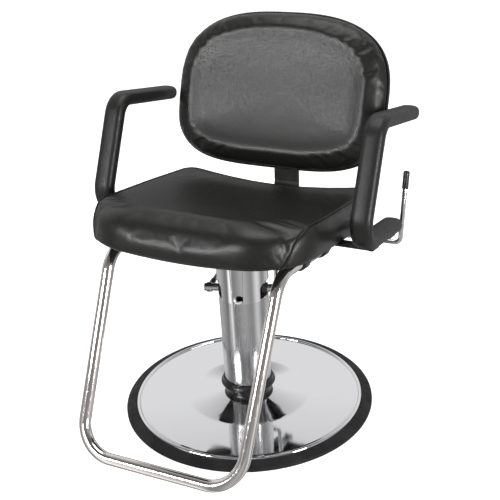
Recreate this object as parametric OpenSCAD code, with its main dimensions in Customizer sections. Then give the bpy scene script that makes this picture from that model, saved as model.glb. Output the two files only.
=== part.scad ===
// Styling chair: a reclining salon chair on a hydraulic pump column.
// The origin is on the floor on the column's axis. The sitter faces -Y,
// +X is the sitter's left and +Z is up. All sizes are in millimetres.

/* [Base] */
// Outer radius of the rubber ring
base_r = 305; // [250:1:370]
// Radial width of the rubber ring
ring_w = 26; // [21:1:32]
// Height of the rubber ring at its inner edge
ring_h = 17; // [15:1:21]
// Height of the rubber ring at its outer edge
ring_edge_h = 9; // [7:1:12]
// Thickness of the chromed dish
dish_t = 1.6; // [1.2:0.1:2]
// Rise of the dish between its rim and its flare
dish_rise = 5; // [4:1:8]
// Radius at which the flare of the dish begins
flare_r = 150; // [120:1:180]
// Height of the flare
flare_h = 18; // [15:1:24]
// How much the flare steepens towards the column
flare_curve = 1.15; // [1:0.05:3]
// Thickness of the cast weight plate
weight_t = 11; // [9:0.5:11]

/* [Column] */
// Outer radius of the column tube at its foot
column_r = 57.1; // [55:0.1:69]
// Growth of the column tube's radius from foot to top
column_flare = 2.7; // [1:0.1:4]
// Wall of the column tube
column_wall = 2.5; // [2:0.1:3.2]
// Height of the column tube's top above the floor
column_top_z = 297; // [245:1:360]
// Height of the pump cover
cover_h = 98; // [90:1:120]
// Turn of the pump about the column's axis
pump_yaw = 18; // [-40:1:40]
// Radius of the hydraulic ram
ram_r = 25; // [20:1:27]
// Travel of the hydraulic ram
lift_travel = 150; // [100:1:160]
// Height from the pump cover's top to the seat's underside
mount_h = 74; // [72:1:100]

/* [Pump lever] */
// Height of the lever shafts above the column tube's top
shaft_rise = 11; // [11:0.5:16]
// Radius of the lever shafts
shaft_r = 9.5; // [8:0.5:11]
// Distance from the column's axis to a lever shaft's outer end
shaft_reach = 93; // [86:1:120]
// Radius of the lever's bent rod
lever_r = 5.75; // [5:0.25:7]
// Reach of the lever behind the column's axis
lever_reach = 225; // [190:1:232]
// Inward slant of each lever leg, in degrees
lever_taper = 8; // [0:1:12]
// Upward slope of the lever, in degrees
lever_slope = 3; // [0:0.5:5]
// Radius of the rubber pad on the lever
pedal_pad_r = 12; // [9:1:14]

/* [Seat] */
// Backward tilt of the seat, in degrees
seat_tilt = 9.5; // [0:0.5:12]
// Half the seat's width
seat_half_w = 262; // [215:1:315]
// Distance from the column's axis to the seat's front
seat_front = 300; // [290:1:360]
// Distance from the column's axis to the seat's rear
seat_rear = 220; // [215:1:226]
// Radius of the seat's front corners in plan
seat_front_r = 135; // [90:1:150]
// Radius of the seat's rear corners in plan
seat_rear_r = 45; // [30:1:60]
// Drop of the seat's front lip below its underside
lip_drop = 18; // [10:1:24]
// Height of the seat cushion
seat_h = 76; // [60:1:95]
// Thickness of the seat board
board_t = 12; // [9:1:18]
// Thickness of the steel cross straps
strap_t = 6; // [5:0.5:8]
// Width of the steel cross straps
strap_w = 40; // [30:1:44]

/* [Arms] */
// Gap between the seat's side and an arm
arm_gap = 33; // [28:1:45]
// Width of an arm across the chair
arm_w = 48; // [40:1:58]
// Thickness of an arm in side view
arm_t = 34; // [28:1:40]
// Height of the arm pad's centre line above the seat's underside
arm_pad_z = 271; // [230:1:320]
// Distance behind the column's axis of the arm pad's end
arm_pad_end = 234; // [220:1:290]
// Fall of the arm pad from its front bend to its end
arm_pad_fall = 7; // [0:1:14]
// Forward lean of the arm's post, in run per unit of height
arm_lean = 0.295; // [0.2:0.005:0.35]
// Bend radius of an arm's lower corner
arm_low_bend = 52; // [44:1:58]
// Bend radius of an arm's upper corner
arm_top_bend = 45; // [36:1:54]

/* [Backrest] */
// Lean of the backrest from the seat's upright, in degrees
back_rake = 10.5; // [5:0.5:15]
// Half the backrest's width
back_half_w = 270; // [225:1:285]
// Height of the backrest above its widest line
back_up = 192; // [160:1:240]
// Height of the backrest below its widest line
back_down = 179; // [150:1:185]
// Thickness of the back cushion
back_pad_t = 36; // [28:1:48]
// Depth of the rear shell at its centre
shell_depth = 50; // [42:1:58]
// Wall of the rear shell
shell_wall = 4; // [3:0.5:5]
// Width of the upright bar
bar_w = 65; // [54:1:68]
// Thickness of the upright bar
bar_t = 8; // [6:1:10]

/* [Footrest] */
// Half the distance between the footrest's legs at the top
foot_half_w = 202; // [150:1:206]
// Half the distance between the footrest's legs at the bottom
foot_low_half_w = 192; // [140:1:206]
// Outer radius of the footrest tube
foot_r = 13.35; // [11:0.05:16]
// Wall of the footrest tube
foot_wall = 2; // [1.5:0.1:3]
// Length of each footrest leg between its bends' corners
foot_leg = 448; // [370:1:460]
// Lean of the legs from the seat's upright, in degrees
foot_lean = 19.3; // [12:0.1:26]
// Distance in front of the column's axis of the legs' upper corner
foot_top_y = 228; // [215:1:260]
// Bend radius of the footrest's lower corners
foot_low_bend = 78; // [60:1:90]
// Bend radius of the footrest's upper bends
foot_top_bend = 68; // [50:1:72]

/* [Recline] */
// Radius of the hinge pin
pin_r = 8; // [6:0.5:9]
// Distance from the hinge pin to the lock pin
tongue_len = 40; // [36:1:42]
// Range of the recline, in degrees
recline_max = 30; // [20:1:30]
// Height of the release lever above its shaft
lever_h = 168; // [150:1:205]
// Radius of the release lever's rod
release_r = 5.75; // [5:0.25:6]

/* [Hidden] */

// Clearances
run_gap = 0.05;   // radial gap of a shaft in its bearing
slip_gap = 0.3;   // gap between fixed covers and what they slip over
end_gap = 1;      // gap at the ends of a moving knuckle
through = 1;      // how far a cut runs past the face it opens
joint_lap = 1;  // how far the straight runs of a bent bar reach into its bends
joint_step = 0.05; // how much slimmer they are than the bends

$fn = 64;

// Base, from the floor up
pad_t = 3;
pad_r = 30;
dish_r = base_r - ring_w;
weight_z = pad_t + weight_t;
weight_r = dish_r - 2;
neck_r = column_r - 7;
neck_z = ring_h + dish_rise + flare_h;
flange_t = 11;
bolt_r = 5;
bolt_head_r = 9;
bolt_head_h = 6;

// Pump
cyl_bore_r = ram_r + 7;
cyl_r = cyl_bore_r + 5;
base_bolt_pcr = cyl_r + 7;
foot_ring_r = column_r + 9.4;
foot_ring_top = neck_z + 28;
tube_z = neck_z + 6;
column_top_r = column_r + column_flare;
cover_r = column_top_r + slip_gap + 1.5;
cover_wall = 1.5;
cover_z = column_top_z - 3;
cover_top = cover_z + cover_h;
head_z = column_top_z - 12;
head_top = cover_top - cover_wall;
head_r = cyl_r + 8;
gland_z = head_top - 36;
wiper_r = ram_r + 2;
wiper_z = cover_top - 7;
shaft_z = column_top_z + shaft_rise;
shaft_in = cyl_r + 1;
boss_r = shaft_r + 4;
boss_out = cover_r - cover_wall - 2;
notch_half = cover_r * sin(42);
notch_top = shaft_z + 27;
finger_x = cyl_r + 5;
finger_t = 6;
finger_len = 20;
finger_h = 8;
plunger_r = 5;
plunger_y = 14;
plunger_gap = 0.3;
socket_x = shaft_reach - 12;
socket_r = 8;
socket_len = 24;
lever_bend = 16;

// Ram
piston_z = weight_z + 74;
piston_h = 26;
ram_foot_r = ram_r - 5;
spigot_r = ram_r - 7;
ram_top = cover_top + 6;
spigot_top = ram_top + 30;
washer_t = 2;

// Seat frame of reference: its origin is where the column's axis meets the seat's underside
seat_z = cover_top + mount_h;
dust_t = 2;
strap_top = -dust_t;
strap_z = strap_top - strap_t;
rail_x = 70;
rail_w = 20;
rail_front = 190;
rail_rear = seat_rear + 8;
rail_z = strap_z - rail_w;
plate_t = 8;
plate_z = rail_z - plate_t;
plate_half_x = rail_x + 24;
plate_half_y = 80;
mount_bolt_y = 60;
collar_r = ram_r + 8;
board_half_w = seat_half_w - 22;
board_in = 18;
board_front = seat_front - 45;
board_rear = seat_rear - 15;
front_strap_y = 0;
rear_strap_y = 120;
foot_strap_y = -115;
board_bolt_x = 130;
board_bolt_r = 3.5;
screw_head_h = 4;

// Arms
arm_x = seat_half_w + arm_gap + arm_w / 2;
arm_low_z = strap_top + arm_t / 2;
arm_low_end = 157;
arm_corner_y = -93;
arm_corner_r = 12;
core_t = 8;
core_w = 25;
arm_points = [
    [arm_x, arm_low_end - arm_t / 2, arm_low_z],
    [arm_x, arm_corner_y, arm_low_z],
    [arm_x, arm_corner_y + arm_lean * (arm_pad_z - arm_low_z), arm_pad_z],
    [arm_x, arm_pad_end - arm_t / 2, arm_pad_z - arm_pad_fall]];
core_points = [
    arm_points[0] - [0, 10, 0],
    arm_points[1],
    arm_points[2],
    arm_points[3] - [0, 40, 0]];
strap_half = arm_x + 11;
arm_bolt_r = 4;

// Footrest
clamp_half_y = 13;
clamp_wall = 4;
foot_z = strap_z - clamp_wall - foot_r;
clamp_z = strap_z - clamp_wall;
clamp_screw_r = 3;
clamp_head_r = 2 * clamp_screw_r;
clamp_screw_x = foot_r + clamp_wall + clamp_head_r + 0.5;
clamp_half_x = clamp_screw_x + clamp_head_r;
foot_rear_y = front_strap_y + 30;

foot_corner = [foot_half_w, -foot_top_y, foot_z];
foot_low = [foot_low_half_w, -foot_top_y - foot_leg * sin(foot_lean),
    foot_z - foot_leg * cos(foot_lean)];
plug_len = 12;

// Recline hinge
pivot_y = seat_rear + 38;
pivot_z = -30;
knuckle_r = pin_r + 6;
bush_r = pin_r + 3;
bush_len = 20;
knuckle_half = bar_w / 2 + 4;
ear_t = 8;
ear_in = knuckle_half + end_gap;
ear_out = ear_in + ear_t;
ear_r = pin_r + 10;
bracket_t = 8;
pin_half = ear_out + 7;
clip_t = 1.5;
tongue_half = 5;
tongue_r = 9;
lock_pin_r = 4;
lock_z = pivot_z - tongue_len;
lock_tube_r = 12;
lock_bore_r = 9;
lock_rod_r = 6;
lock_tube_front = 100;
lock_tube_rear = 190;
lock_cap_t = 10;
lock_slack = 0.8;
lock_rise = tongue_len * (1 - cos(recline_max));
fork_in = tongue_half + end_gap;
fork_out = fork_in + 5;
lock_ear_in = 7;
lock_ear_t = 4;

// Release lever
release_y = 195;
release_z = -40;
release_x = arm_x + 7;
release_lean = 5;
release_bend = 13;
release_in = 8;
grip_len = 42;
grip_r = 7.5;
hanger_t = 8;
hanger_half = 12;
hanger_x = foot_half_w + 30;

// Backrest frame of reference, seen from the seat's
back_y = 203;
back_z = arm_pad_z;
widest_s = 15;
outline_steps = 18;
back_board_t = 12;
shell_side = 14;
shell_inset = 62;
back_bolt_x = 18;
back_bolt_low = -15;
back_bolt_high = 60;
back_bolt_r = 4;
block_half_x = 34;
bar_low_z = 60;
bar_top_s = 85;
bar_meet_s = -46;

// Helpers: vectors and outlines
function unit(v) = v / norm(v);
function turn_at(p, i) = acos(unit(p[i] - p[i - 1]) * unit(p[i + 1] - p[i]));
function trim_at(p, i, r) =
    (i == 0 || i == len(p) - 1) ? 0 : r[i - 1] * tan(turn_at(p, i) / 2);
// How far a straight run reaches into the bend at point i
function lap_at(p, i) = (i == 0 || i == len(p) - 1) ? 0 : joint_lap;
function inward(a, b) = b - a * (a * b);
function arc(c, r, a0, a1, n) =
    [for (k = [0 : n]) c + r * [cos(a0 + (a1 - a0) * k / n), sin(a0 + (a1 - a0) * k / n)]];
function rounded(half_w, half_h, r) = r == 0 ?
    [[half_w, half_h], [-half_w, half_h], [-half_w, -half_h], [half_w, -half_h]] : concat(
    arc([half_w - r, half_h - r], r, 0, 90, 5),
    arc([r - half_w, half_h - r], r, 90, 180, 5),
    arc([r - half_w, r - half_h], r, 180, 270, 5),
    arc([half_w - r, r - half_h], r, 270, 360, 5));
function half_rounded(half_w, half_h, r) = concat(
    [[0, -half_h]],
    arc([half_w - r, r - half_h], r, 270, 360, 5),
    arc([half_w - r, half_h - r], r, 0, 90, 5),
    [[0, half_h]]);
// Signed power, for the backrest's outline
function spow(v, e) = sign(v) * pow(abs(v), e);
// One quarter-to-quarter run of a superellipse with half-axes a and b
function super_arc(a, b, n, a0, a1) =
    [for (k = [0 : outline_steps])
        let (t = a0 + (a1 - a0) * k / outline_steps)
        [a * spow(cos(t), 2 / n), widest_s + b * spow(sin(t), 2 / n)]];
function back_outline(inset) = concat(
    super_arc(back_half_w - inset, back_up - inset, 2.75, 0, 180),
    super_arc(back_half_w - inset, back_down - inset, 3.7, 180, 360));
// The seat's outline in plan, drawn in by inset
function seat_plan(inset) =
    let (w = seat_half_w, f = seat_front_r, r = seat_rear_r)
    concat(
        arc([w - r, seat_rear - r], r - inset, 0, 90, 8),
        arc([r - w, seat_rear - r], r - inset, 90, 180, 8),
        arc([f - w, f - seat_front], f - inset, 180, 270, 14),
        arc([w - f, f - seat_front], f - inset, 270, 360, 14));
// Outer radius of the column tube at height z
function column_at(z) = column_r + column_flare * (z - tube_z) / (column_top_z - tube_z);
// Height of the dish's upper surface at radius r
function dish_z(r) = ring_h + dish_rise * (1 - pow(r / dish_r, 2))
    + (r < flare_r ? flare_h * pow((flare_r - r) / (flare_r - neck_r), flare_curve) : 0);
// A backrest point in side view, d behind the rim plane and s along it
function back_point(d, s) = [
    back_y + d * cos(back_rake) + s * sin(back_rake),
    back_z - d * sin(back_rake) + s * cos(back_rake)];

// Places: the pump, the seat and the backrest
module in_pump() {
    rotate([0, 0, pump_yaw]) children();
}

module in_seat() {
    translate([0, 0, seat_z]) rotate([-seat_tilt, 0, 0]) children();
}

module in_back() {
    in_seat()
        translate([0, back_y, back_z]) rotate([-back_rake, 0, 0]) children();
}

// A side-view outline in Y and Z, extruded across the chair from x0 to x1
module across(x0, x1) {
    translate([x0, 0, 0]) rotate([90, 0, 90]) linear_extrude(x1 - x0) children();
}

// A front-view outline in X and Z, extruded from y0 to y1
module fore_aft(y0, y1) {
    translate([0, y1, 0]) rotate([90, 0, 0]) linear_extrude(y1 - y0) children();
}

module block(low, high) {
    translate(low) cube(high - low);
}

module bar_x(x0, x1, y, z, r) {
    translate([x0, y, z]) rotate([0, 90, 0]) cylinder(r = r, h = x1 - x0);
}

module bar_y(y0, y1, x, z, r) {
    translate([x, y0, z]) rotate([-90, 0, 0]) cylinder(r = r, h = y1 - y0);
}

module bar_z(z0, z1, x, y, r) {
    translate([x, y, z0]) cylinder(r = r, h = z1 - z0);
}

module ring_z(z0, z1, outer, inner) {
    difference() {
        translate([0, 0, z0]) cylinder(r = outer, h = z1 - z0, $fn = 96);
        translate([0, 0, z0 - through])
            cylinder(r = inner, h = z1 - z0 + 2 * through, $fn = 96);
    }
}

// A round rod through the points p, with a bend of radius r[i] at each inner point
module bent_rod(p, r, rod_r) {
    for (i = [0 : len(p) - 2]) {
        a = unit(p[i + 1] - p[i]);
        start = p[i] + a * (trim_at(p, i, r) - lap_at(p, i));
        stop = p[i + 1] - a * (trim_at(p, i + 1, r) - lap_at(p, i + 1));
        translate(start)
            rotate([0, acos(a[2]), atan2(a[1], a[0])])
            cylinder(r = rod_r - joint_step, h = norm(stop - start), $fn = 32);
    }
    for (i = [1 : len(p) - 2])
        bend_at(p, i, r) circle(r = rod_r, $fn = 32);
}

// The bend at point i of a path, with a section whose first axis points outward
module bend_at(p, i, r) {
    a = unit(p[i] - p[i - 1]);
    b = unit(p[i + 1] - p[i]);
    n = unit(inward(a, b));
    c = p[i] - a * trim_at(p, i, r) + n * r[i - 1];
    w = cross(-n, a);
    multmatrix([
        [-n[0], a[0], w[0], c[0]],
        [-n[1], a[1], w[1], c[1]],
        [-n[2], a[2], w[2], c[2]],
        [0, 0, 0, 1]])
        rotate_extrude(angle = turn_at(p, i), $fn = 96)
        translate([r[i - 1], 0]) children();
}

// A bar in side view through the points p, all bends turning the same way
module bent_bar(p, r, half_t, half_w, corner) {
    w = [1, 0, 0];
    for (i = [0 : len(p) - 2]) {
        a = unit(p[i + 1] - p[i]);
        start = p[i] + a * (trim_at(p, i, r) - lap_at(p, i));
        stop = p[i + 1] - a * (trim_at(p, i + 1, r) - lap_at(p, i + 1));
        o = cross(a, w);
        multmatrix([
            [o[0], w[0], -a[0], stop[0]],
            [o[1], w[1], -a[1], stop[1]],
            [o[2], w[2], -a[2], stop[2]],
            [0, 0, 0, 1]])
            linear_extrude(norm(stop - start))
            polygon(rounded(half_t - joint_step, half_w - joint_step, corner));
    }
    for (i = [1 : len(p) - 2])
        bend_at(p, i, r) polygon(rounded(half_t, half_w, corner));
}

module hex_bolt(x, y, z0, z1, r, head_r, head_h) {
    bar_z(z0, z1, x, y, r);
    translate([x, y, z0 - head_h]) cylinder(r = head_r, h = head_h, $fn = 6);
}

module dome_screw(x, y, z0, z1, r, head_h) {
    bar_z(z0, z1, x, y, r);
    bar_z(z0 - head_h, z0, x, y, r * 2);
}

// Base
module base_pad() {
    color("black") cylinder(r = pad_r, h = pad_t);
}

module base_ring() {
    color("#202020")
        rotate_extrude($fn = 128)
        polygon([
            [dish_r - 12, 0], [base_r - 2, 0], [base_r, 2], [base_r, ring_edge_h - 2],
            [base_r - 3, ring_edge_h + 1], [dish_r + 3, ring_h], [dish_r, ring_h],
            [dish_r, pad_t + 3], [weight_r, pad_t], [dish_r - 12, pad_t]]);
}

module base_weight() {
    color("dimgray") difference() {
        translate([0, 0, pad_t]) cylinder(r = weight_r, h = weight_t, $fn = 128);
        for (a = [45 : 90 : 315]) rotate(a) {
            bar_z(pad_t - through, pad_t + bolt_head_h, base_bolt_pcr, 0, bolt_head_r + 1);
            bar_z(pad_t, weight_z + through, base_bolt_pcr, 0, bolt_r + 0.25);
        }
    }
}

module base_dish() {
    radii = [for (k = [0 : 12]) neck_r + (flare_r - neck_r) * k / 12];
    outer = [for (k = [1 : 6]) flare_r + (dish_r - 4 - flare_r) * k / 6];
    top = [for (r = concat(radii, outer)) [r, dish_z(r)]];
    bottom = [for (k = [len(top) - 1 : -1 : 0]) top[k] - [0, dish_t]];
    color("silver") rotate_extrude($fn = 128)
        polygon(concat(top,
            [[dish_r - 0.5, ring_h - 1], [dish_r - 0.5, weight_z + 0.2],
             [dish_r - 2.5, weight_z + 0.2], [dish_r - 4, dish_z(dish_r - 4) - dish_t]],
            [for (k = [1 : len(bottom) - 1]) bottom[k]]));
}

module base_bolts() {
    color("silver") for (a = [45 : 90 : 315]) rotate(a)
        hex_bolt(base_bolt_pcr, 0, pad_t + bolt_head_h, weight_z + flange_t - 2,
            bolt_r, bolt_head_r, bolt_head_h - 1);
}

// Column and pump
module column_foot() {
    color("#181818") rotate_extrude($fn = 96)
        polygon([
            [neck_r, neck_z], [column_r - 2, neck_z], [foot_ring_r, neck_z + 13],
            [foot_ring_r, neck_z + 18], [foot_ring_r - 6, foot_ring_top],
            [column_r + 0.5, foot_ring_top], [column_r + 0.5, tube_z], [neck_r, tube_z]]);
}

module column_tube() {
    h = column_top_z - tube_z;
    color("#b9b9bc") difference() {
        translate([0, 0, tube_z])
            cylinder(r1 = column_r, r2 = column_top_r, h = h, $fn = 96);
        translate([0, 0, tube_z - through])
            cylinder(r1 = column_r - column_wall, r2 = column_top_r - column_wall,
                h = h + 2 * through, $fn = 96);
    }
}

module pump_cylinder() {
    color("gray") difference() {
        union() {
            bar_z(weight_z, gland_z, 0, 0, cyl_r);
            bar_z(weight_z, weight_z + flange_t, 0, 0, base_bolt_pcr + 9);
        }
        bar_z(weight_z + flange_t, gland_z + through, 0, 0, cyl_bore_r);
        for (a = [45 : 90 : 315]) rotate(a)
            bar_z(weight_z - through, weight_z + flange_t - 2, base_bolt_pcr, 0, bolt_r);
    }
}

module pump_head() {
    color("#505050") in_pump() difference() {
        union() {
            bar_z(head_z, column_top_z, 0, 0, column_at(head_z) - column_wall - slip_gap);
            bar_z(column_top_z, head_top, 0, 0, head_r);
            bar_x(-boss_out, boss_out, 0, shaft_z, boss_r);
        }
        bar_z(head_z - through, head_top + through, 0, 0, cyl_r);
        ring_z(head_z - through, column_top_z + slip_gap, boss_out + through,
            column_at(head_z) - column_wall - slip_gap);
        for (side = [-1, 1])
            bar_x(side > 0 ? shaft_in - 2 : -boss_out - through,
                side > 0 ? boss_out + through : 2 - shaft_in,
                0, shaft_z, shaft_r + run_gap);
        block([finger_x - finger_t / 2 - 0.5, -boss_r - through, head_z + 11],
            [finger_x + finger_t / 2 + 0.5, finger_len + 6, shaft_z + boss_r + through]);
        bar_z(head_z - through, shaft_z, finger_x, plunger_y, plunger_r + run_gap);
    }
}

module pump_gland() {
    color("#b08a3c") difference() {
        ring_z(gland_z, head_top, cyl_r, ram_r + run_gap);
        bar_z(wiper_z, head_top + through, 0, 0, wiper_r);
    }
}

module ram_wiper() {
    color("#181818") ring_z(wiper_z, cover_top + 1.5, wiper_r, ram_r + run_gap);
}

// The cover's side openings clear the lever shafts; its front tongue has a small window
module pump_cover() {
    window_half = 8;
    window_z = shaft_z - 6;
    color("silver") in_pump() difference() {
        translate([0, 0, cover_z]) cylinder(r = cover_r, h = cover_h, $fn = 96);
        translate([0, 0, cover_z - through])
            cylinder(r = cover_r - cover_wall, h = cover_h - cover_wall + through, $fn = 96);
        bar_z(cover_top - 2 * cover_wall, cover_top + through, 0, 0, wiper_r);
        for (side = [-1, 1])
            across(side > 0 ? 20 : -cover_r - 2, side > 0 ? cover_r + 2 : -20)
                polygon(concat(
                    [[notch_half, cover_z - through]],
                    arc([notch_half - 12, notch_top - 12], 12, 0, 90, 5),
                    arc([12 - notch_half, notch_top - 12], 12, 90, 180, 5),
                    [[-notch_half, cover_z - through]]));
        fore_aft(-cover_r - through, -20)
            polygon([[-window_half, window_z], [window_half, window_z],
                [window_half, window_z + 11], [window_half - 3, window_z + 14],
                [3 - window_half, window_z + 14], [-window_half, window_z + 11]]);
    }
}

// Lever, its two stub shafts and the finger that works the pump plunger
module pump_shaft(side) {
    color("silver") in_pump() mirror([side > 0 ? 0 : 1, 0, 0]) {
        bar_x(shaft_in, shaft_reach, 0, shaft_z, shaft_r);
        bar_x(socket_x - 6, socket_x + 6, 0, shaft_z, shaft_r + 2.5);
    }
}

module pump_shaft_left() {
    pump_shaft(1);
}

module pump_shaft_right() {
    pump_shaft(-1);
}

module cam_finger() {
    color("gray") in_pump() difference() {
        block([finger_x - finger_t / 2, -finger_h / 2, shaft_z - finger_h / 2],
            [finger_x + finger_t / 2, finger_len, shaft_z + finger_h / 2]);
        bar_x(0, shaft_reach, 0, shaft_z, shaft_r);
    }
}

// The lever lies in a plane that slopes up behind the shafts
module in_lever() {
    in_pump() translate([0, 0, shaft_z]) rotate([lever_slope, 0, 0]) children();
}

lever_end_x = socket_x - lever_reach * tan(lever_taper);
lever_dir = unit([lever_end_x - socket_x, lever_reach, 0]);
lever_start = [socket_x, 0, 0] + lever_dir * (shaft_r + 4);
lever_corner = [lever_end_x, lever_reach, 0];
lever_points = [mirrored(lever_start), mirrored(lever_corner), lever_corner, lever_start];
function mirrored(p) = [-p[0], p[1], p[2]];

module lever_sockets() {
    color("#202020") in_lever() for (side = [0, 1]) mirror([side, 0, 0]) difference() {
        translate([socket_x, 0, 0])
            rotate([-90, 0, lever_taper])
            cylinder(r1 = socket_r, r2 = socket_r - 1.2, h = socket_len + shaft_r);
        bar_x(0, shaft_reach + 10, 0, 0, shaft_r + 2.5);
        translate(lever_start)
            rotate([-90, 0, lever_taper])
            cylinder(r = lever_r, h = socket_len + 30);
    }
}

module pump_lever() {
    color("silver") in_lever() bent_rod(lever_points, [lever_bend, lever_bend], lever_r);
}

module pedal_pad() {
    half = lever_end_x - lever_bend - 2;
    color("#202020") in_lever() difference() {
        bar_x(-half, half, lever_reach, 0, pedal_pad_r);
        bar_x(-half - through, half + through, lever_reach, 0, lever_r);
        for (k = [-2 : 2])
            translate([k * 9, lever_reach, pedal_pad_r])
                cube([3, 3 * pedal_pad_r, 3], center = true);
    }
}

module pump_plunger() {
    color("silver") in_pump()
        bar_z(head_z - 12, shaft_z - finger_h / 2 - plunger_gap, finger_x, plunger_y, plunger_r);
}

// Ram
module ram() {
    color("silver") {
        bar_z(piston_z, piston_z + piston_h, 0, 0, ram_foot_r);
        bar_z(piston_z + piston_h, ram_top, 0, 0, ram_r);
        bar_z(ram_top, spigot_top, 0, 0, spigot_r);
    }
}

module ram_piston() {
    mid = piston_z + piston_h / 2;
    color("gray") difference() {
        ring_z(piston_z, piston_z + piston_h, cyl_bore_r - run_gap, ram_foot_r);
        ring_z(mid - 3, mid + 3, cyl_bore_r + 1, cyl_bore_r - 4);
    }
}

module piston_seal() {
    mid = piston_z + piston_h / 2;
    color("#181818") ring_z(mid - 3, mid + 3, cyl_bore_r - run_gap, cyl_bore_r - 4);
}

module thrust_washer() {
    color("#b08a3c") ring_z(ram_top, ram_top + washer_t, ram_r, spigot_r + run_gap);
}

// Seat mount: a collar on the ram's spigot, welded to a sloping plate
module seat_mount() {
    color("#303030") difference() {
        union() {
            in_seat() block([-plate_half_x, -plate_half_y, plate_z],
                [plate_half_x, plate_half_y, rail_z]);
            intersection() {
                union() {
                    bar_z(ram_top + washer_t, seat_z, 0, 0, collar_r);
                    for (a = [45 : 90 : 315]) rotate(a)
                        translate([0, -4, 0]) fore_aft(0, 8)
                            polygon([[0, ram_top + washer_t + 6], [collar_r, ram_top + washer_t + 6],
                                [75, seat_z - 46], [75, seat_z], [0, seat_z]]);
                }
                in_seat() block([-90, -90, -200], [90, 90, plate_z + 2]);
            }
        }
        bar_z(ram_top, spigot_top + 1, 0, 0, spigot_r + run_gap);
        in_seat() for (x = [-rail_x, rail_x], y = [-mount_bolt_y, mount_bolt_y])
            bar_z(plate_z - through, rail_z + through, x, y, bolt_r + 0.25);
    }
}

module mount_bolts() {
    color("silver") in_seat() for (x = [-rail_x, rail_x], y = [-mount_bolt_y, mount_bolt_y])
        hex_bolt(x, y, plate_z, rail_z + 14, bolt_r, bolt_head_r, bolt_head_h);
}

// Seat frame
module rail(side) {
    color("#282828") in_seat() difference() {
        block([side * rail_x - rail_w / 2, -rail_front, rail_z],
            [side * rail_x + rail_w / 2, rail_rear, strap_z]);
        for (y = [-mount_bolt_y, mount_bolt_y])
            bar_z(rail_z - through, rail_z + 14, side * rail_x, y, bolt_r);
    }
}

module rail_left() {
    rail(1);
}

module rail_right() {
    rail(-1);
}

module strap(y, half) {
    color("#282828") in_seat() difference() {
        block([-half, y - strap_w / 2, strap_z], [half, y + strap_w / 2, strap_top]);
        for (x = [-board_bolt_x, board_bolt_x])
            bar_z(strap_z - through, through, x, y, board_bolt_r + 0.25);
        children();
    }
}

module foot_holes(y) {
    for (x = [-foot_half_w, foot_half_w], dx = [-clamp_screw_x, clamp_screw_x])
        bar_z(clamp_z - through, through, x + dx, y, clamp_screw_r);
}

module arm_holes(y) {
    for (x = [-arm_x, arm_x])
        bar_z(strap_z - through, through, x, y, arm_bolt_r + 0.25);
}

module foot_cross() {
    strap(foot_strap_y, foot_half_w + clamp_half_x) foot_holes(foot_strap_y);
}

module arm_strap_front() {
    strap(front_strap_y, strap_half) {
        foot_holes(front_strap_y);
        arm_holes(front_strap_y);
    }
}

module arm_strap_rear() {
    strap(rear_strap_y, strap_half) arm_holes(rear_strap_y);
}

module at_board_bolts() {
    for (x = [-board_bolt_x, board_bolt_x], y = [foot_strap_y, front_strap_y, rear_strap_y])
        translate([x, y, 0]) children();
}

// The board's outline, from z0 to z1, grown sideways and to the rear by more
module board_form(z0, z1, more) {
    intersection() {
        block([-board_half_w - more, -board_front, z0],
            [board_half_w + more, board_rear + more, z1]);
        translate([0, 0, z0 - through]) linear_extrude(z1 - z0 + 2 * through)
            polygon(seat_plan(board_in - more));
    }
}

module seat_board() {
    color("#c9a36a") in_seat() difference() {
        board_form(0, board_t, 0);
        at_board_bolts() bar_z(-through, board_t - 2, 0, 0, board_bolt_r);
    }
}

module board_bolts() {
    color("silver") in_seat() at_board_bolts()
        dome_screw(0, 0, strap_z, board_t - 2, board_bolt_r, screw_head_h);
}

module dust_cover() {
    color("#101010") in_seat() difference() {
        board_form(-dust_t, 0, 6);
        at_board_bolts() bar_z(-dust_t - through, through, 0, 0, board_bolt_r + 0.25);
        for (y = [foot_strap_y, front_strap_y]) foot_holes(y);
    }
}

// Seat cushion: a side outline with a rolled front, cut to a plan with round corners
// The lip hangs lowest in the middle and runs out towards the corners
module seat_cushion() {
    roll = 46;
    lip = 20;
    rear_r = 16;
    side = concat(
        [[seat_rear, 0]],
        arc([seat_rear - rear_r, seat_h - rear_r], rear_r, 0, 90, 4),
        arc([roll - seat_front, seat_h - roll], roll, 90, 180, 8),
        arc([lip + 2 - seat_front, lip - lip_drop], lip, 190, 270, 5),
        [[-board_front - 6, -lip_drop], [-board_front - 2, 0]]);
    lip_half = seat_half_w - 22;
    face = concat(
        [for (k = [-6:6]) [lip_half * k / 6, -lip_drop * (1 - pow(k / 6, 2))]],
        [[seat_half_w + 5, 0], [seat_half_w + 5, seat_h + 5],
         [-seat_half_w - 5, seat_h + 5], [-seat_half_w - 5, 0]]);
    color("#2a2826") in_seat() difference() {
        intersection() {
            across(-seat_half_w - 5, seat_half_w + 5) polygon(side);
            translate([0, 0, -2 * lip_drop]) linear_extrude(seat_h + 3 * lip_drop)
                polygon(seat_plan(0));
            fore_aft(-seat_front - 5, seat_rear + 5) polygon(face);
        }
        board_form(-through, board_t, 0);
    }
}

// Arms: a moulded C over a flat steel core
module arm(side) {
    color("#242424") in_seat() mirror([side > 0 ? 0 : 1, 0, 0]) difference() {
        union() {
            bent_bar(arm_points, [arm_low_bend, arm_top_bend], arm_t / 2, arm_w / 2,
                arm_corner_r);
            for (p = [arm_points[0], arm_points[3]])
                translate(p - [0, joint_lap, 0]) rotate([90, 0, 90])
                    rotate([0, 0, -90])
                    rotate_extrude(angle = 180)
                    polygon(half_rounded(arm_t / 2, arm_w / 2, arm_corner_r));
        }
        arm_core_shape();
        for (y = [front_strap_y, rear_strap_y])
            bar_z(strap_top - through, arm_low_z, arm_x, y, arm_bolt_r);
    }
}

module arm_core_shape() {
    bent_bar(core_points, [arm_low_bend, arm_top_bend], core_t / 2, core_w / 2, 0);
}

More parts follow.
